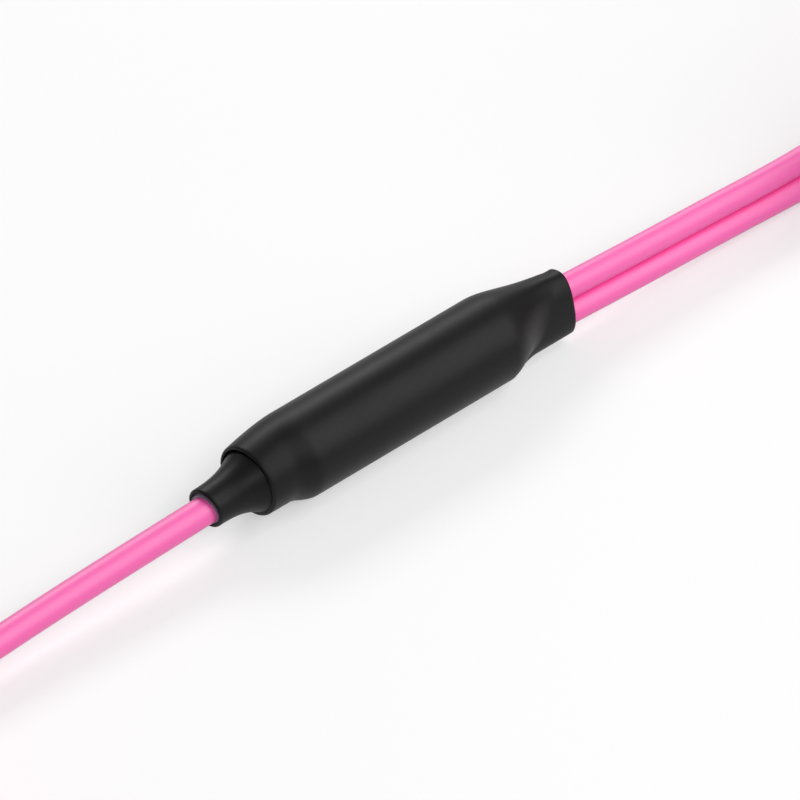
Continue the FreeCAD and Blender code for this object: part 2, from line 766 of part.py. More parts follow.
def plug_spring(name):
    """Coil spring between the rear block and the ferrule, a square wire wound in straight facets."""
    radius, wire = S["spring_d"].value / 2, S["spring_wire"].value
    start = (BLOCK_X + S["block_len"] + S["fit_gap"] * 2).value + wire
    length = LIP_X.value - S["fit_gap"].value * 2 - wire - start
    steps = SPRING_TURNS * SPRING_SIDES
    points = []
    for step in range(steps + 1):
        angle = 2 * math.pi * step / SPRING_SIDES
        points.append(
            FreeCAD.Vector(start + length * step / steps, radius * math.cos(angle), radius * math.sin(angle))
        )
    middle, along = points[0], (points[1] - points[0]).normalize()
    out = FreeCAD.Vector(0, 1, 0)
    side = along.cross(out).normalize()
    out = side.cross(along)
    signs = ((-1, -1), (1, -1), (1, 1), (-1, 1), (-1, -1))
    section = Part.makePolygon([middle + (out * a + side * b) * (wire / 2) for a, b in signs])
    item = DOC.addObject("Part::Feature", f"{name}_ferrule_spring")
    item.Label = f"{name}_ferrule_spring"
    item.Shape = Part.makePolygon(points).makePipeShell([section], True, False, 1)
    SUB_PARTS.append(item)
    return item


def build_plug(name, cable_d, x, y, z, turn):
    """One plug with its rear at x, y, z and its ferrule along +X, or turned to point along -X."""
    pieces = [
        plug_boot(name, cable_d / 2),
        tube(f"{name}_crimp_ring", STEM_R + S["fit_gap"], S["ring_d"] / 2, RING_X, S["ring_len"]),
        plug_rear_body(name),
        plug_housing(name),
        plug_coupling(name),
        plug_ferrule(name),
        plug_spring(name),
    ]
    for piece in pieces:
        place(piece, S[x], S[y], z, as_size(turn), FreeCAD.Vector(0, 0, 1))


def build_plugs():
    """The trunk's plug and the two legs' plugs, each lying on its hank above the strap."""
    half = S["coupling_t"] / 2 + S["grip_t"] + S["fit_gap"] * 2
    over = (S["tie_wall"] + S["fit_gap"]) * 2
    trunk_z, leg_z = S["trunk_hank_tall"] + over + half, S["leg_hank_tall"] + over + half
    build_plug("trunk_plug", S["trunk_d"], "trunk_plug_x", "trunk_plug_y", trunk_z, 180)
    build_plug("leg_1_plug", S["leg_d"], "leg_1_plug_x", "leg_1_plug_y", leg_z, 0)
    build_plug("leg_2_plug", S["leg_d"], "leg_2_plug_x", "leg_2_plug_y", leg_z, 180)
    print(f"plug heights {trunk_z.value:.2f} {leg_z.value:.2f}")


def check_document():
    """Stop if any object failed or any sub-part has no sound solid."""
    for item in DOC.Objects:
        if "Invalid" in item.State or "Error" in item.State:
            raise RuntimeError(f"{item.Label} failed: {item.State}")
    for item in SUB_PARTS:
        if item.Shape.isNull() or not item.Shape.isValid():
            raise RuntimeError(f"{item.Label} has no valid shape")


def write_parts():
    """Write each sub-part to its own file, named for the sub-part."""
    os.makedirs("parts", exist_ok=True)
    for item in SUB_PARTS:
        item.Shape.exportStep(f"parts/{item.Label}.step")


build_sleeve()
build_boot()
build_core()
build_cables()
build_hanks()
build_plugs()
DOC.recompute()
check_document()
write_parts()
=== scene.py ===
"""Looks of a fibre breakout cable.

A pink trunk cable enters a black heat-shrunk body, and two pink legs leave it through an oval collar. The
put-away lengths lie in strapped hanks, and each cable ends in a multi-fibre push-on plug.
"""

import json
import logging
import math
from dataclasses import dataclass
from enum import Enum
from functools import cached_property

import bpy
import numpy as np
from mathutils import Matrix, Vector


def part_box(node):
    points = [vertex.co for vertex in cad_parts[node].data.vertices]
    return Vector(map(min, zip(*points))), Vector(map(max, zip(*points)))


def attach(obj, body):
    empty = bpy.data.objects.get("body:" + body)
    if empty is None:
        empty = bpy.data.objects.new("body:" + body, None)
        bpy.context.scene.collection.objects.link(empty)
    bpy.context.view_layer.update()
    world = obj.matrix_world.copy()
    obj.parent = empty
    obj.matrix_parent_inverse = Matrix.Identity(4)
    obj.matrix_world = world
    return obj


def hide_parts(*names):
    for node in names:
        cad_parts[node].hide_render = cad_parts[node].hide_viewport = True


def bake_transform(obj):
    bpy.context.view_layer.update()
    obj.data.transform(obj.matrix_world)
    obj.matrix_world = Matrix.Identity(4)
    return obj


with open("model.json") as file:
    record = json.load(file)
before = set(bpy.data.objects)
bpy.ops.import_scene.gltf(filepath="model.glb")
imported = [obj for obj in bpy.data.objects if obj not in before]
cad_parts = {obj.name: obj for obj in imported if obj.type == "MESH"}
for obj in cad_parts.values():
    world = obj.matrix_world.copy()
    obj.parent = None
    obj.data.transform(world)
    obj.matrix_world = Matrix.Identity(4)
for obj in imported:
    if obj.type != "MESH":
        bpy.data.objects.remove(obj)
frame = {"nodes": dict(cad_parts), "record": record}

LOG = logging.getLogger("breakout_cable")
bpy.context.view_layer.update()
MM = 0.001
FIXED_BODY = "breakout"
TURN = 2 * math.pi
Point = tuple[float, float, float]
Colour = tuple[float, float, float]
Source = float | bpy.types.NodeSocket | None


def grid_mesh(name: str, grid: np.ndarray, closed_along: bool = True) -> bpy.types.Object:
    """Make a smooth mesh from a grid of points, joined up round its second direction.

    Each cell of the grid is one quad, and the last column meets the first. Rows meet too where the surface is
    closed along its length, as the wall of a tube is over its rims. Where it isn't, one flat face closes each
    end.

    Args:
        name: Name of the new piece.
        grid: Points in metres, shape (rows, columns, 3), with the outside to the left of a row.
        closed_along: Whether the last row meets the first.

    Returns:
        The new object, at the origin and linked to the scene.
    """
    rows, columns = grid.shape[:2]
    bands = rows if closed_along else rows - 1
    row, column = np.meshgrid(np.arange(bands), np.arange(columns), indexing="ij")
    next_row, next_column = (row + 1) % rows, (column + 1) % columns
    corners = (row, column), (row, next_column), (next_row, next_column), (next_row, column)
    faces = np.stack([r * columns + c for r, c in corners], axis=-1).reshape(-1, 4).tolist()
    if not closed_along:
        ring = np.arange(columns)
        faces += [ring[::-1].tolist(), (ring + (rows - 1) * columns).tolist()]
    mesh = bpy.data.meshes.new(name)
    mesh.from_pydata(grid.reshape(-1, 3).tolist(), [], faces)
    mesh.polygons.foreach_set("use_smooth", np.ones(len(faces), dtype=bool))
    mesh.update()
    piece = bpy.data.objects.new(name, mesh)
    bpy.context.scene.collection.objects.link(piece)
    return piece


def settle(piece: bpy.types.Object, slot: str, *nodes: str) -> None:
    """Fix a new piece to the cable, hide the solids that it stands for and name them in the log.

    Args:
        piece: The new piece.
        slot: The record's material slot. Not used.
        *nodes: CAD nodes that the piece replaces.
    """
    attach(piece, FIXED_BODY)
    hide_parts(*nodes)
    LOG.info("%s stands for %s", piece.name, ", ".join(nodes))


def dress(piece: bpy.types.Object, material: bpy.types.Material) -> None:
    """Give a piece one material all over."""
    piece.data.materials.clear()
    piece.data.materials.append(material)


def ease(share: np.ndarray) -> np.ndarray:
    """Smooth step from 0 to 1 as share goes from 0 to 1, level at both ends."""
    share = np.clip(share, 0, 1)
    return share * share * (3 - 2 * share)


class Shop:
    """Shader node groups that several finishes share, each built once."""

    fine_detail = 3.0
    coarse_detail = 2.0
    coarse_share = 0.06

    @staticmethod
    def group(
        name: str, inputs: dict[str, tuple[str, float | None]], outputs: dict[str, str]
    ) -> tuple[bpy.types.NodeTree, bpy.types.Node, bpy.types.Node]:
        """Start a node group with named sockets.

        Args:
            name: Name of the group.
            inputs: Socket name to its type and its default value, or None.
            outputs: Socket name to its type.

        Returns:
            The group, its input node and its output node.
        """
        tree = bpy.data.node_groups.new(name, "ShaderNodeTree")
        for label, (kind, value) in inputs.items():
            socket = tree.interface.new_socket(label, in_out="INPUT", socket_type=kind)
            if value is not None:
                socket.default_value = value
        for label, kind in outputs.items():
            tree.interface.new_socket(label, in_out="OUTPUT", socket_type=kind)
        return tree, tree.nodes.new("NodeGroupInput"), tree.nodes.new("NodeGroupOutput")

    @staticmethod
    def maths(
        tree: bpy.types.NodeTree, operation: str, first: Source, second: Source = None, third: Source = None
    ) -> bpy.types.NodeSocket:
        """Add a Math node. Numbers are set on its sockets, and sockets are linked to them.

        Args:
            tree: The tree to add it to.
            operation: What the node works out.
            first: First number or socket.
            second: Second one, if the operation has it.
            third: Third one, if the operation has it.

        Returns:
            The node's value.
        """
        node = tree.nodes.new("ShaderNodeMath")
        node.operation = operation
        for socket, source in zip(node.inputs, (first, second, third)):
            if isinstance(source, (int, float)):
                socket.default_value = source
            elif source is not None:
                tree.links.new(source, socket)
        return node.outputs[0]

    @staticmethod
    def noise(
        tree: bpy.types.NodeTree, vector: bpy.types.NodeSocket, scale: bpy.types.NodeSocket, detail: float
    ) -> bpy.types.NodeSocket:
        """Add a Noise Texture node.

        Args:
            tree: The tree to add it to.
            vector: Where the noise is read.
            scale: How fine it is.
            detail: How many finer layers lie on it.

        Returns:
            The noise, from 0 to 1.
        """
        node = tree.nodes.new("ShaderNodeTexNoise")
        node.inputs["Detail"].default_value = detail
        tree.links.new(vector, node.inputs["Vector"])
        tree.links.new(scale, node.inputs["Scale"])
        return node.outputs["Fac"]

    @cached_property
    def grain(self) -> bpy.types.NodeTree:
        """Moulded or extruded skin: fine noise for height, the same and a coarse noise for roughness.

        Returns:
            The group, which puts out a roughness, a height and a slow mottle.
        """
        tree, given, result = self.group(
            "skin_grain",
            {
                "Vector": ("NodeSocketVector", None),
                "Scale": ("NodeSocketFloat", 4000.0),
                "Roughness": ("NodeSocketFloat", 0.4),
                "Spread": ("NodeSocketFloat", 0.1),
            },
            {"Roughness": "NodeSocketFloat", "Height": "NodeSocketFloat", "Mottle": "NodeSocketFloat"},
        )
        fine = self.noise(tree, given.outputs["Vector"], given.outputs["Scale"], self.fine_detail)
        coarse_scale = self.maths(tree, "MULTIPLY", given.outputs["Scale"], self.coarse_share)
        coarse = self.noise(tree, given.outputs["Vector"], coarse_scale, self.coarse_detail)
        both = self.maths(tree, "ADD", fine, coarse)
        centred = self.maths(tree, "SUBTRACT", both, 1.0)
        rough = self.maths(tree, "MULTIPLY_ADD", centred, given.outputs["Spread"], given.outputs["Roughness"])
        tree.links.new(rough, result.inputs["Roughness"])
        tree.links.new(fine, result.inputs["Height"])
        tree.links.new(coarse, result.inputs["Mottle"])
        return tree

    @cached_property
    def weave(self) -> bpy.types.NodeTree:
        """Plain weave: product of two sine ridges at right angles, one along X and one round the strap.

        Returns:
            The group, which puts out a height, and the same again as painted shade: the finish's deep tone
            darkens the weave's dips.
        """
        tree, given, result = self.group(
            "strap_weave",
            {"Vector": ("NodeSocketVector", None), "Pitch": ("NodeSocketFloat", 7000.0)},
            {"Height": "NodeSocketFloat", "Mask": "NodeSocketFloat"},
        )
        split = tree.nodes.new("ShaderNodeSeparateXYZ")
        tree.links.new(given.outputs["Vector"], split.inputs[0])
        across = self.maths(tree, "ADD", split.outputs["Y"], split.outputs["Z"])
        ridges = []
        for source in (split.outputs["X"], across):
            phase = self.maths(tree, "MULTIPLY", source, given.outputs["Pitch"])
            ridges.append(self.maths(tree, "SINE", phase))
        woven = self.maths(tree, "MULTIPLY", *ridges)
        height = self.maths(tree, "MULTIPLY_ADD", woven, 0.5, 0.5)
        tree.links.new(height, result.inputs["Height"])
        # The height also drives the tone mix, which paints shade into the weave's dips.
        tree.links.new(height, result.inputs["Mask"])
        return tree


SHOP = Shop()


class Pattern(Enum):
    """What a finish's relief is made of."""

    GRAIN = "grain"
    WEAVE = "weave"


@dataclass(frozen=True)
class Finish:
    """One finish: two tones that mottle into each other, and a relief that also varies the roughness. A
    weave's deep tone follows its relief instead, as painted shade in the dips.
    """

    name: str
    colour: Colour
    deep: Colour
    roughness: float
    spread: float = 0.08
    scale: float = 4000.0
    depth: float = 0.02 * MM
    strength: float = 0.15
    metallic: float = 0.0
    specular: float = 0.5
    coat: float = 0.0
    coat_roughness: float = 0.2
    pattern: Pattern = Pattern.GRAIN

    def material(self) -> bpy.types.Material:
        """Build this finish's material, or return the one already built.

        Returns:
            A material on Object coordinates.
        """
        known = bpy.data.materials.get(self.name)
        if known:
            return known
        made = bpy.data.materials.new(self.name)
        made.use_nodes = True
        tree = made.node_tree
        shader = tree.nodes["Principled BSDF"]
        place = tree.nodes.new("ShaderNodeTexCoord").outputs["Object"]
        grain = self.placed(tree, SHOP.grain, place)
        grain.inputs["Scale"].default_value = self.scale
        grain.inputs["Roughness"].default_value = self.roughness
        grain.inputs["Spread"].default_value = self.spread
        height, mottle_and_dip_shade = grain.outputs["Height"], grain.outputs["Mottle"]
        if self.pattern is Pattern.WEAVE:
            weave = self.placed(tree, SHOP.weave, place)
            # A weave's deep tone lies in its dips: painted shade, not a mottle.
            height, mottle_and_dip_shade = weave.outputs["Height"], weave.outputs["Mask"]
        tones = tree.nodes.new("ShaderNodeMix")
        tones.data_type = "RGBA"
        tones.inputs["A"].default_value = (*self.deep, 1)
        tones.inputs["B"].default_value = (*self.colour, 1)
        tree.links.new(mottle_and_dip_shade, tones.inputs["Factor"])
        tree.links.new(tones.outputs["Result"], shader.inputs["Base Color"])
        tree.links.new(grain.outputs["Roughness"], shader.inputs["Roughness"])
        bump = tree.nodes.new("ShaderNodeBump")
        bump.inputs["Strength"].default_value = self.strength
        bump.inputs["Distance"].default_value = self.depth
        tree.links.new(height, bump.inputs["Height"])
        tree.links.new(bump.outputs["Normal"], shader.inputs["Normal"])
        shader.inputs["Metallic"].default_value = self.metallic
        shader.inputs["Specular IOR Level"].default_value = self.specular
        shader.inputs["Coat Weight"].default_value = self.coat
        shader.inputs["Coat Roughness"].default_value = self.coat_roughness
        return made

    @staticmethod
    def placed(
        tree: bpy.types.NodeTree, group: bpy.types.NodeTree, vector: bpy.types.NodeSocket
    ) -> bpy.types.Node:
        """Put a shared group into a material.

        Args:
            tree: The material's tree.
            group: The shared group.
            vector: Where the group reads its pattern.

        Returns:
            The group's node.
        """
        node = tree.nodes.new("ShaderNodeGroup")
        node.node_tree = group
        tree.links.new(vector, node.inputs["Vector"])
        return node


PINK_JACKET = Finish(
    "pink_jacket", (0.96, 0.090, 0.43), (0.93, 0.081, 0.41), 0.53, scale=3500.0, specular=1.0,
    coat=0.7, coat_roughness=0.48,
)
BLACK_SHRINK = Finish(
    "black_shrink", (0.006, 0.006, 0.0065), (0.0045, 0.0045, 0.005), 0.45, scale=5000.0, specular=0.19
)
GREY_ADHESIVE = Finish(
    "grey_adhesive", (0.20, 0.22, 0.27), (0.12, 0.13, 0.17), 0.30, scale=2500.0, strength=0.3
)
PLAIN_TUBE = Finish("plain_tube", (0.52, 0.52, 0.50), (0.45, 0.45, 0.43), 0.45)
CRIMP_METAL = Finish("crimp_metal", (0.55, 0.53, 0.50), (0.45, 0.43, 0.40), 0.32, metallic=1.0)
FIBRE_COATING = Finish("fibre_coating", (0.25, 0.50, 0.58), (0.20, 0.43, 0.52), 0.3)
FIBRE_GLASS = Finish("fibre_glass", (0.66, 0.70, 0.72), (0.58, 0.63, 0.66), 0.12, scale=9000.0, strength=0.05)
CURED_RESIN = Finish("cured_resin", (0.46, 0.38, 0.22), (0.38, 0.31, 0.17), 0.35)
# The strap's deep tone is painted shade in the weave's dips; its own colour is the lighter tone.
WOVEN_STRAP = Finish(
    "woven_strap", (0.040, 0.040, 0.044), (0.008, 0.008, 0.009), 0.85, depth=0.12 * MM, strength=0.8,
    specular=0.3, pattern=Pattern.WEAVE,
)
BOOT_RUBBER = Finish("boot_rubber", (0.022, 0.022, 0.024), (0.015, 0.015, 0.017), 0.62, scale=6000.0)
BLACK_MOULDING = Finish("black_moulding", (0.028, 0.028, 0.031), (0.020, 0.020, 0.023), 0.45, scale=9000.0)
PINK_MOULDING = Finish("pink_moulding", (0.62, 0.055, 0.21), (0.54, 0.045, 0.18), 0.42, scale=9000.0)
FERRULE_RESIN = Finish("ferrule_resin", (0.050, 0.050, 0.054), (0.032, 0.032, 0.035), 0.35, scale=7000.0)
SPRING_STEEL = Finish("spring_steel", (0.60, 0.60, 0.61), (0.48, 0.48, 0.50), 0.28, metallic=1.0)


@dataclass
class PhotoCamera:
    """A long-lens camera that looks down along the body, from the trunk's side."""

    azimuth: float = math.radians(-43.2)
    elevation: float = math.radians(39.0)
    lens: float = 600.0
    sensor: float = 36.0
    view_width: float = 78.7 * MM
    aim: Point = (0.0, 0.0, 4.65 * MM)
    shift_right: float = 1.69 * MM
    shift_up: float = 0.16 * MM
    clip_near: float = 0.01
    clip_far: float = 100.0

    def build(self) -> bpy.types.Object:
        """Place the camera so that view_width fills the picture at the aimed point.

        Returns:
            The camera, made the scene's own.
        """
        a, e = self.azimuth, self.elevation
        right = Vector((math.cos(a), math.sin(a), 0))
        back = Vector((math.sin(a) * math.cos(e), -math.cos(a) * math.cos(e), math.sin(e)))
        up = back.cross(right)
        data = bpy.data.cameras.new("photo_camera")
        data.lens = self.lens
        data.sensor_width = self.sensor
        distance = self.view_width * self.lens / self.sensor
        data.clip_start, data.clip_end = distance * self.clip_near, distance * self.clip_far
        camera = bpy.data.objects.new("photo_camera", data)
        turn = Matrix((right, up, back)).transposed().to_4x4()
        target = Vector(self.aim) + right * self.shift_right + up * self.shift_up
        camera.matrix_world = Matrix.Translation(target + back * distance) @ turn
        bpy.context.scene.collection.objects.link(camera)
        bpy.context.scene.camera = camera
        return camera


@dataclass(frozen=True)
class Softbox:
    """One rectangular lamp that faces the middle of the body.

    One side of it runs along the body, and the other round it.
    """

    name: str
    towards: Point
    distance: float
    along: float
    around: float
    brightness: float

    def build(self) -> bpy.types.Object:
        """Hang the lamp at its distance. Its power is pi times its brightness times its area.

        Returns:
            The lamp.
        """
        data = bpy.data.lights.new(self.name, "AREA")
        data.shape = "RECTANGLE"
        data.size, data.size_y = self.along, self.around
        data.energy = math.pi * self.brightness * self.along * self.around
        lamp = bpy.data.objects.new(self.name, data)
        back = Vector(self.towards).normalized()
        up = back.cross(Vector((1, 0, 0))).normalized()
        turn = Matrix((up.cross(back), up, back)).transposed().to_4x4()
        lamp.matrix_world = Matrix.Translation(back * self.distance) @ turn
        bpy.context.scene.collection.objects.link(lamp)
        return lamp


@dataclass
class Studio:
    """White table and room round the cable, and the lamps."""

    half_width: float = 3.0
    ambient: float = 0.24
    table_colour: Colour = (0.96, 0.96, 0.96)
    table_bounce: Colour = (0.55, 0.55, 0.55)
    table_glow: float = 0.45
    table_roughness: float = 0.9
    lamps: tuple[Softbox, ...] = (
        Softbox("front_panel", (0.53, -0.57, 0.63), distance=1.0, along=0.55, around=1.10, brightness=3.6),
        Softbox("side_panel", (-0.33, -0.64, 0.69), distance=1.0, along=0.70, around=0.26, brightness=5.0),
        Softbox("rear_strip", (0.38, 0.70, 0.56), distance=1.0, along=0.80, around=0.28, brightness=6.4),
    )

    def build(self) -> None:
        """Lay the table, light the room and hang the lamps."""
        half = self.half_width
        corners = [(-half, -half, 0), (half, -half, 0), (half, half, 0), (-half, half, 0)]
        mesh = bpy.data.meshes.new("table")
        mesh.from_pydata(corners, [], [(0, 1, 2, 3)])
        table = bpy.data.objects.new("table", mesh)
        bpy.context.scene.collection.objects.link(table)
        dress(table, self.table_material())
        self.light_room()
        for lamp in self.lamps:
            lamp.build()
        bpy.context.scene.view_settings.view_transform = "Standard"

    def table_material(self) -> bpy.types.Material:
        """White table that keeps a shadow: white where it is seen or mirrored, with a part of it a glow.

        It is grey to light that bounces off it, so that the undersides of the pieces stay deep.

        Returns:
            The table's material.
        """
        material = bpy.data.materials.new("white_table")
        material.use_nodes = True
        tree = material.node_tree
        shader = tree.nodes["Principled BSDF"]
        shader.inputs["Roughness"].default_value = self.table_roughness
        shader.inputs["Specular IOR Level"].default_value = 0.0
        glow = tree.nodes.new("ShaderNodeEmission")
        path = tree.nodes.new("ShaderNodeLightPath")
        seen = path.outputs["Is Camera Ray"]
        for ray in ("Is Glossy Ray", "Is Transmission Ray"):
            seen = Shop.maths(tree, "MAXIMUM", seen, path.outputs[ray])
        tone = tree.nodes.new("ShaderNodeMix")
        tone.data_type = "RGBA"
        tone.inputs["A"].default_value = (*self.table_bounce, 1)
        tone.inputs["B"].default_value = (*self.table_colour, 1)
        tree.links.new(seen, tone.inputs["Factor"])
        tree.links.new(tone.outputs["Result"], shader.inputs["Base Color"])
        blend = tree.nodes.new("ShaderNodeMixShader")
        tree.links.new(Shop.maths(tree, "MULTIPLY", seen, self.table_glow), blend.inputs[0])
        tree.links.new(shader.outputs[0], blend.inputs[1])
        tree.links.new(glow.outputs[0], blend.inputs[2])
        tree.links.new(blend.outputs[0], tree.nodes["Material Output"].inputs["Surface"])
        return material

    def light_room(self) -> None:
        """Room light: an even pale grey from all round."""
        world = bpy.data.worlds.new("pale_room")
        bpy.context.scene.world = world
        world.use_nodes = True
        room = world.node_tree.nodes["Background"]
        room.inputs["Color"].default_value = (1, 1, 1, 1)
        room.inputs["Strength"].default_value = self.ambient


def facing(plug: str) -> float:
    """Which way along X a plug's face looks, 1 or -1: from its spring to its ferrule."""
    return math.copysign(1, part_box(f"{plug}_ferrule")[0].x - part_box(f"{plug}_ferrule_spring")[0].x)


@dataclass
class FibreRow:
    """The row of polished fibre ends in the face of one plug's ferrule, between its guide holes."""

    plug: str
    count: int = 12
    pitch: float = 0.25 * MM
    radius: float = 0.0625 * MM
    proud: float = 0.01 * MM
    depth: float = 0.3 * MM
    sides: int = 16

    def build(self) -> bpy.types.Object:
        """Make short rods in a row: y = middle + pitch * n + radius * cos a, z = middle + radius * sin a.

        Each has a ring just proud of the ferrule's face and a ring inside it, joined by quads and closed by a
        face at each end. The face looks away from the ferrule's spring, and the rods move with the ferrule.

        Returns:
            One piece that holds all the rods.
        """
        (low, high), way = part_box(f"{self.plug}_ferrule"), facing(self.plug)
        middle, face = (low + high) / 2, high.x if way > 0 else low.x
        place = self.pitch * (np.arange(self.count) - (self.count - 1) / 2)[:, None, None]
        angle = way * TURN * np.arange(self.sides)[None, None, :] / self.sides
        x = face + way * np.array([self.proud, -self.depth])[None, :, None]
        y = middle.y + place + self.radius * np.cos(angle)
        z = middle.z + self.radius * np.sin(angle)
        points = np.stack(np.broadcast_arrays(x, y, z), axis=-1)
        front, back = np.moveaxis(np.arange(points[..., 0].size).reshape(points.shape[:3]), 1, 0)
        walls = np.stack([front, back, np.roll(back, -1, axis=1), np.roll(front, -1, axis=1)], axis=-1)
        faces = [*front.tolist(), *back[:, ::-1].tolist(), *walls.reshape(-1, 4).tolist()]
        mesh = bpy.data.meshes.new(f"{self.plug}_fibre_ends")
        mesh.from_pydata(points.reshape(-1, 3).tolist(), [], faces)
        piece = bpy.data.objects.new(mesh.name, mesh)
        bpy.context.scene.collection.objects.link(piece)
        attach(piece, f"{self.plug}_tip")
        dress(piece, FIBRE_GLASS.material())
        LOG.info("%s holds %d fibre ends", piece.name, self.count)
        return piece


@dataclass
class FerruleSpring:
    """The coil spring behind one plug's ferrule, which shortens as the ferrule floats back."""

    plug: str
    wire: float = 0.45 * MM
    turns: int = 5
    steps: int = 36
    sides: int = 12

    def surface(self, low: Vector, high: Vector) -> np.ndarray:
        """Points of the wire: a circle carried along a helix about X, square to it.

        The helix is x = start + rise * t, y = radius * cos t, z = radius * sin t. At each place the circle is
        laid out by cos a away from the helix's axis, and by sin a along the helix's binormal.

        Args:
            low: Lowest corner of the spring's box.
            high: Highest corner.

        Returns:
            Grid of points, shape (rows, sides, 3).
        """
        half, middle = self.wire / 2, (low + high) / 2
        radius = (high.z - low.z) / 2 - half
        t = TURN * np.arange(self.turns * self.steps + 1)[:, None] / self.steps
        a = TURN * np.arange(self.sides)[None, :] / self.sides
        rise = (high.x - low.x - self.wire) / (TURN * self.turns)
        slope = math.atan2(rise, radius)
        out, along = radius + half * np.cos(a), half * np.sin(a)
        x = low.x + half + rise * t - along * math.cos(slope)
        y = middle.y + out * np.cos(t) - along * math.sin(slope) * np.sin(t)
        z = middle.z + out * np.sin(t) + along * math.sin(slope) * np.cos(t)
        return np.stack([x, y, z], axis=-1)

    def build(self) -> bpy.types.Object:
        """Make the spring, with its front end on the ferrule and its rear end on the plug's block.

        Returns:
            The spring, dressed.
        """
        node = f"{self.plug}_ferrule_spring"
        low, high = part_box(node)
        spring = grid_mesh(f"{self.plug}_wound_spring", self.surface(low, high), closed_along=False)
        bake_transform(spring)
        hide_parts(node)
        dress(spring, SPRING_STEEL.material())
        LOG.info("%s stands for %s", spring.name, node)
        return spring


@dataclass(frozen=True)
class Hank:
    """Put-away turns of one cable, folded back and forth between two ends, in millimetres.

    Each fold is a half circle about the near or far end's middle, and climbs by half the pitch. The last one
    draws in and climbs to where the tail leads off to the plug.
    """

    near_x: float
    far_x: float
    middle_y: float
    radius: float
    first_z: float
    pitch: float
    folds: int
    last_radius: float
    last_z: float
    points_per_fold: int = 9

    def fold(self, number: int) -> np.ndarray:
        """Points of one fold: an arc that starts where the fold before it stopped, a half turn on.

        Args:
            number: Which fold, from 0 at the far end.

        Returns:
            Points, shape (n, 3): the arc, and one step of each run before and after it. Those inside the arc
            stand out a little, because the spline cuts inside them.
        """
        way = math.copysign(1, self.far_x - self.near_x)
        last = number == self.folds
        share = np.linspace(0, 1, self.points_per_fold)
        angle = math.pi / 2 - way * math.pi * (number + share)
        step = math.pi / (self.points_per_fold - 1)
        proud = np.full(self.points_per_fold, 1 / (0.75 + 0.25 * math.cos(step)))
        proud[[0, -1]] = 1
        proud[[1, -2]] = (1 + proud[2]) / 2
        start_z = self.first_z + number * self.pitch / 2
        stop_z = self.last_z if last else start_z + self.pitch / 2
        stop_radius = self.last_radius if last else self.radius
        radius = (self.radius + (stop_radius - self.radius) * share) * proud
        x = (self.far_x if number % 2 == 0 else self.near_x) + radius * np.cos(angle)
        y = self.middle_y + radius * np.sin(angle)
        arc = np.stack([x, y, start_z + (stop_z - start_z) * share], axis=1)
        lead = np.array([way * (1 if number % 2 == 0 else -1) * self.radius * step, 0, 0])
        return np.concatenate([arc[:1] - lead, arc, arc[-1:] - lead])

    def points(self) -> np.ndarray:
        """All folds in order, up to where the tail takes over."""
        return np.concatenate([self.fold(number) for number in range(self.folds + 1)])[:-1]


@dataclass
class Cable:
    """One cable from the breakout body to its plug, as a single smooth line."""

    name: str
    diameter: float
    length: float
    exit: Point
    route: tuple[Point, ...]
    hank: Hank
    tail: tuple[Point, ...]
    plug: str
    solids: tuple[str, ...]
    tie: tuple[str, ...] = ()
    steps_per_point: int = 12
    section_steps: int = 9

    def build(self) -> bpy.types.Object:
        """Lay the cable along its route, wind its hank and lead it to its plug.

        Returns:
            A curve of one open spline with a round section.
        """
        points = np.concatenate([np.array(self.route), self.hank.points(), np.array(self.tail)]) * MM
        data = bpy.data.curves.new(self.name, "CURVE")
        data.dimensions = "3D"
        spline = data.splines.new("NURBS")
        spline.points.add(len(points) - 1)
        weighted = np.concatenate([points, np.ones((len(points), 1))], axis=1)
        spline.points.foreach_set("co", weighted.ravel())
        spline.points.foreach_set("radius", np.full(len(points), self.diameter * MM / 2))
        spline.order_u = 3
        spline.use_endpoint_u = True
        data.resolution_u = self.steps_per_point
        data.bevel_depth = 1.0
        data.bevel_resolution = self.section_steps
        data.use_fill_caps = True
        cable = bpy.data.objects.new(self.name, data)
        bpy.context.scene.collection.objects.link(cable)
        settle(cable, "cable_jacket", *self.solids)
        dress(cable, PINK_JACKET.material())
        fittings = [FibreRow(self.plug).build(), FerruleSpring(self.plug).build()]
        return cable


TRUNK = Cable(
    name="pink_trunk",
    diameter=3.0,
    length=0.355,
    exit=(-24.05, 0.0, 4.65),
    route=(
        (-23.45, 0.0, 4.2),
        (-34.0, 0.0, 3.87),
        (-46.0, -0.1, 3.47),
        (-57.0, -0.5, 3.1),
        (-67.0, -1.1, 2.45),
        (-76.0, -1.45, 2.17),
    ),
    hank=Hank(
        near_x=-77.0, far_x=-122.0, middle_y=-10.5,
        radius=9.0, first_z=2.15, pitch=3.0,
        folds=3, last_radius=8.9, last_z=12.3,
    ),
    tail=((-80.0, -1.6, 13.0), (-82.6, -1.6, 13.5), (-84.8, -1.6, 13.6)),
    plug="trunk_plug",
    solids=("trunk_cable", "trunk_hank", "trunk_tail"),
    tie=("trunk_tie",),
)
LEG_1 = Cable(
    name="pink_leg_1",
    diameter=2.7,
    length=0.52,
    exit=(24.05, 0.23, 5.57),
    route=(
        (23.45, 0.2, 5.38),
        (34.0, 0.16, 4.78),
        (45.0, 0.08, 4.39),
        (55.0, -0.22, 4.14),
        (64.0, 0.35, 3.75),
        (72.0, 1.2, 2.75),
        (79.0, 1.5, 2.0),
    ),
    hank=Hank(
        near_x=78.0, far_x=118.5, middle_y=-9.8,
        radius=11.3, first_z=2.0, pitch=2.7,
        folds=5, last_radius=8.4, last_z=15.5,
    ),
    tail=((81.0, -1.5, 16.2), (83.6, -1.58, 16.7), (85.8, -1.6, 16.8)),
    plug="leg_1_plug",
    solids=("leg_1_cable", "legs_hank", "leg_1_tail"),
    tie=("legs_tie",),
)
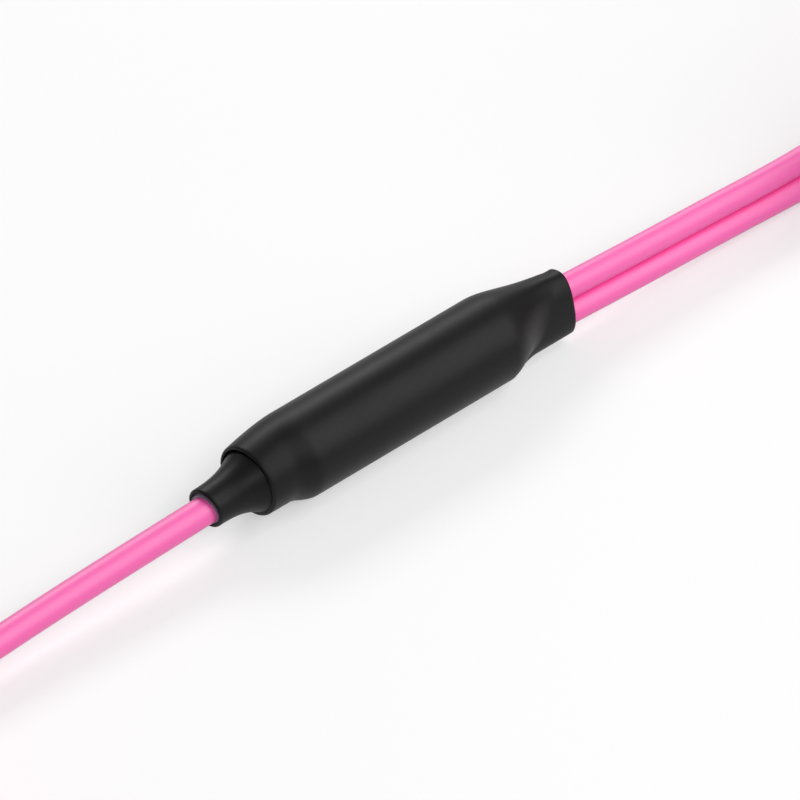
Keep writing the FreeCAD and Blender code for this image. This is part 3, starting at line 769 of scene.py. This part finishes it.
LEG_2 = Cable(
    name="pink_leg_2",
    diameter=2.7,
    length=0.52,
    exit=(24.05, -0.43, 2.94),
    route=(
        (23.45, -0.43, 2.75),
        (34.0, -0.44, 2.15),
        (45.0, -0.5, 1.75),
        (55.0, -0.8, 1.5),
        (64.0, -1.3, 1.52),
        (72.0, -1.65, 1.75),
        (79.0, -1.7, 1.98),
    ),
    hank=Hank(
        near_x=78.0, far_x=118.5, middle_y=-9.8,
        radius=8.1, first_z=2.0, pitch=2.7,
        folds=6, last_radius=7.8, last_z=15.5,
    ),
    tail=((115.5, -17.4, 16.2), (112.9, -17.1, 16.7), (110.7, -17.0, 16.8)),
    plug="leg_2_plug",
    solids=("leg_2_cable", "leg_2_tail"),
)


def wall_section(
    start: float, stop: float, wall: float, rows: int, rim_rows: int = 9
) -> tuple[np.ndarray, np.ndarray]:
    """Section through the wall of a tube, with half-round rims at both ends.

    The section runs along the outside, round the far rim, back along the inside and round the near rim.

    Args:
        start: Where the tube starts along X.
        stop: Where it stops.
        wall: Wall thickness.
        rows: Points on the outside, and half as many inside.
        rim_rows: Points round each rim.

    Returns:
        Place along X and depth below the outside, two columns of equal length.
    """
    half = wall / 2
    swing = np.linspace(0, math.pi, rim_rows)[1:-1]
    out = np.linspace(start + half, stop - half, rows)
    back = np.linspace(stop - half, start + half, rows // 2)
    x = np.concatenate([out, stop - half + half * np.sin(swing), back, start + half - half * np.sin(swing)])
    rim = half * (1 - np.cos(swing))
    depth = np.concatenate([np.zeros(len(out)), rim, np.full(len(back), wall), wall - rim])
    return x[:, None], depth[:, None]


@dataclass
class HeatShrinkSleeve:
    """The outer sleeve: necked at its mouth, round in the middle, drawn to an oval collar on the legs."""

    sides: int = 160
    rows: int = 170
    wall: float = 0.5 * MM
    mouth_lean: float = 0.2
    mouth_set: float = 0.25 * MM
    mouth_slant: float = 0.35 * MM
    neck_radius: float = 3.83 * MM
    neck_run: float = 3.3 * MM
    slow_power: float = 1.5
    collar_half_tall: float = 3.52 * MM
    collar_half_wide: float = 2.05 * MM
    collar_power: float = 2.5
    collar_drop: float = 0.46 * MM
    collar_set: float = 0.12 * MM
    collar_slant: float = 0.25 * MM
    lean: float = math.radians(14.0)
    high_side: float = math.radians(28.0)
    slow_side: float = math.radians(44.0)
    quick_run: float = 2.9 * MM
    slow_run: float = 9.2 * MM
    run_power: float = 0.3

    def __post_init__(self) -> None:
        """Take the sleeve's place and size from its solid and from the tube inside it."""
        low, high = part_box("outer_sleeve")
        tube_low, tube_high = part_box("furcation_tube")
        self.start, self.stop = low.x, high.x
        self.straight, self.taper = tube_low.x, tube_high.x
        self.radius, self.axis_z = (high.z - low.z) / 2, (high.z + low.z) / 2

    def surface(self) -> np.ndarray:
        """Points of the sleeve's wall.

        At each place along X the section goes from a circle to a superellipse,
        |v / tall| ** power + |u / wide| ** power = 1, with v along the collar's leaning long way. The mouth
        opens and the collar draws in over a short run on the lower side and a longer one on the upper side. A
        cosine of the angle leads from one to the other. Both ends are cut a little aslant.

        Returns:
            Grid of points, shape (rows, sides, 3).
        """
        x, depth = wall_section(self.start, self.stop, self.wall, self.rows)
        angle = -TURN * np.arange(self.sides)[None, :] / self.sides
        high = (1 + np.cos(angle - self.high_side)) / 2
        mouth_run = self.straight - self.start
        quick_open = ease((x - self.start - self.neck_run) / (mouth_run - self.neck_run))
        slow_open = 1 - (1 - np.clip((x - self.start) / mouth_run, 0, 1)) ** self.slow_power
        opened = quick_open + (slow_open - quick_open) * high
        near_mouth = np.exp(-((x - self.start) / self.neck_run))
        depth = depth * (1 - self.mouth_lean * (2 * high - 1) * near_mouth)
        radius = self.neck_radius + (self.radius - self.neck_radius) * opened - depth
        slow = (1 + np.cos(angle - self.slow_side)) / 2
        run = self.quick_run + (self.slow_run - self.quick_run) * slow**self.run_power
        along = np.clip((x - self.taper) / run, 0, 1)
        drawn = ease(along) + (along - ease(along)) * along * slow
        power = 2 / self.collar_power
        oval_v = (self.collar_half_tall - depth) * np.sign(np.cos(angle)) * np.abs(np.cos(angle)) ** power
        oval_u = (self.collar_half_wide - depth) * np.sign(np.sin(angle)) * np.abs(np.sin(angle)) ** power
        v = radius * np.cos(angle) * (1 - drawn) + (oval_v - self.collar_drop) * drawn
        u = radius * np.sin(angle) * (1 - drawn) + oval_u * drawn
        y = u * math.cos(self.lean) + v * math.sin(self.lean)
        z = self.axis_z + v * math.cos(self.lean) - u * math.sin(self.lean)
        near_end = np.exp((x - self.stop) / self.neck_run)
        x = x + near_mouth * (self.mouth_set + self.mouth_slant * (1 - high))
        x = x + near_end * (self.collar_set + self.collar_slant * high)
        return np.stack([x, y, z], axis=-1)

    def build(self) -> bpy.types.Object:
        """Make the sleeve and dress it.

        Returns:
            The sleeve.
        """
        sleeve = grid_mesh("shrunk_sleeve", self.surface())
        settle(sleeve, "heat_shrink", "outer_sleeve")
        dress(sleeve, BLACK_SHRINK.material())
        return sleeve


@dataclass
class TrunkBoot:
    """The flared boot on the trunk, and the ring of hot-melt adhesive that shows in its rim."""

    sides: int = 120
    rows: int = 80
    wall: float = 0.46 * MM
    rim_radius: float = 2.16 * MM
    rim_slant: float = 0.5 * MM
    high_side: float = math.radians(48.0)
    flare_radius: float = 3.24 * MM
    flare_power: float = 2.9
    lip_set: float = 0.25 * MM
    lip_slant: float = 0.4 * MM
    lip_swell: float = 0.2 * MM
    droop: float = 0.28 * MM
    ring_droop: float = 0.45 * MM
    ring_inner: float = 1.44 * MM
    ring_outer: float = 1.73 * MM
    ring_set: float = 0.06 * MM
    ring_length: float = 3.0 * MM
    ring_hollow: float = 0.08 * MM
    ring_waves: int = 3
    ring_wave: float = 0.03 * MM
    ring_phase: float = 0.8
    ring_rows: int = 17

    def __post_init__(self) -> None:
        """Take the boot's place from its solid and the sleeve's mouth."""
        low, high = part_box("trunk_boot")
        self.start, self.stop = low.x, high.x
        self.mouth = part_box("outer_sleeve")[0].x
        self.axis_z = (low.z + high.z) / 2

    def angles(self) -> np.ndarray:
        """Angles round the boot from its top, one row."""
        return -TURN * np.arange(self.sides)[None, :] / self.sides

    def low_side(self) -> np.ndarray:
        """How far round each angle lies from the high side, from 0 to 1 by a cosine."""
        return (1 - np.cos(self.angles() - self.high_side)) / 2

    def turned(self, x: np.ndarray, radius: np.ndarray, droop: float) -> np.ndarray:
        """Turn a section about an axis that droops towards the rim: y = r sin a, z = axis + r cos a.

        The rim is cut aslant: its lower side, away from high_side, stands back by rim_slant.

        Args:
            x: Places along X, one column.
            radius: Radius at each place.
            droop: How far below the body's axis the rim's middle lies.

        Returns:
            Grid of points, shape (rows, sides, 3).
        """
        angle = self.angles()
        share = np.clip((self.mouth - x) / (self.mouth - self.start), 0, None)
        y, z = radius * np.sin(angle), self.axis_z - droop * share + radius * np.cos(angle)
        return np.stack([x + self.rim_slant * self.low_side() * share, y, z], axis=-1)

    def boot(self) -> bpy.types.Object:
        """Boot wall: radius = rim + (flare - rim) * share ** power, with share the way to the sleeve's mouth.

        The mouth stands further back on the lower side, and there the flare swells to fill it.

        Returns:
            The boot, dressed.
        """
        x, depth = wall_section(self.start, self.stop, self.wall, self.rows)
        low = self.low_side()
        lip = self.mouth + self.lip_set + self.lip_slant * low
        share = np.clip((x - self.start) / (lip - self.start), 0, 1)
        flare = self.flare_radius + self.lip_swell * low
        radius = self.rim_radius + (flare - self.rim_radius) * share**self.flare_power - depth
        piece = grid_mesh("shrunk_boot", self.turned(x, radius, self.droop))
        settle(piece, "heat_shrink", "trunk_boot")
        dress(piece, BLACK_SHRINK.material())
        return piece

    def adhesive(self) -> bpy.types.Object:
        """Adhesive ring: a hollow face that climbs the cable and the rim in slow waves, and a plain back.

        The face lies at x = start + hollow * sin(pi * s) + wave * sin(n * a + phase), with s from the cable
        to the rim.

        Returns:
            The ring, dressed.
        """
        across = np.linspace(0, 1, self.ring_rows)[:, None]
        radius = self.ring_inner + (self.ring_outer - self.ring_inner) * across
        wave = self.ring_wave * np.sin(self.ring_waves * self.angles() + self.ring_phase)
        face = self.start + self.ring_set + self.ring_hollow * np.sin(math.pi * across) + wave
        front = self.turned(face, radius, self.ring_droop)
        back_x = np.full((2, 1), self.start + self.ring_length)
        back = self.turned(back_x, radius[[-1, 0]], self.ring_droop)
        piece = grid_mesh("adhesive_ring", np.concatenate([front, back]))
        settle(piece, "adhesive", "boot_liner")
        dress(piece, GREY_ADHESIVE.material())
        return piece


class SolidFinish(Enum):
    """Finish of each CAD node that stays, by its material slot in the record."""

    cable_jacket = PINK_JACKET
    heat_shrink = BLACK_SHRINK
    adhesive = GREY_ADHESIVE
    stiff_tube = PLAIN_TUBE
    crimp_metal = CRIMP_METAL
    fibre_coating = FIBRE_COATING
    resin = CURED_RESIN
    strap = WOVEN_STRAP
    boot_rubber = BOOT_RUBBER
    plug_plastic = BLACK_MOULDING
    coupling_plastic = PINK_MOULDING
    ferrule_resin = FERRULE_RESIN
    spring_steel = SPRING_STEEL


def dress_solids() -> None:
    """Give every CAD node the finish of its slot."""
    for part in frame["record"]["subparts"]:
        finish = SolidFinish[part["material_slot"]].value
        dress(frame["nodes"][part["node"]], finish.material())
        LOG.info("%s has %s", part["node"], finish.name)


def main() -> None:
    """Set up the camera and room, then build the cable from the trunk to the plugs."""
    logging.basicConfig(level=logging.INFO, format="%(name)s: %(message)s")
    PhotoCamera().build()
    Studio().build()
    dress_solids()
    for cable in (TRUNK, LEG_1, LEG_2):
        cable.build()
    HeatShrinkSleeve().build()
    boot = TrunkBoot()
    boot.boot()
    boot.adhesive()


if __name__ == "__main__":
    main()
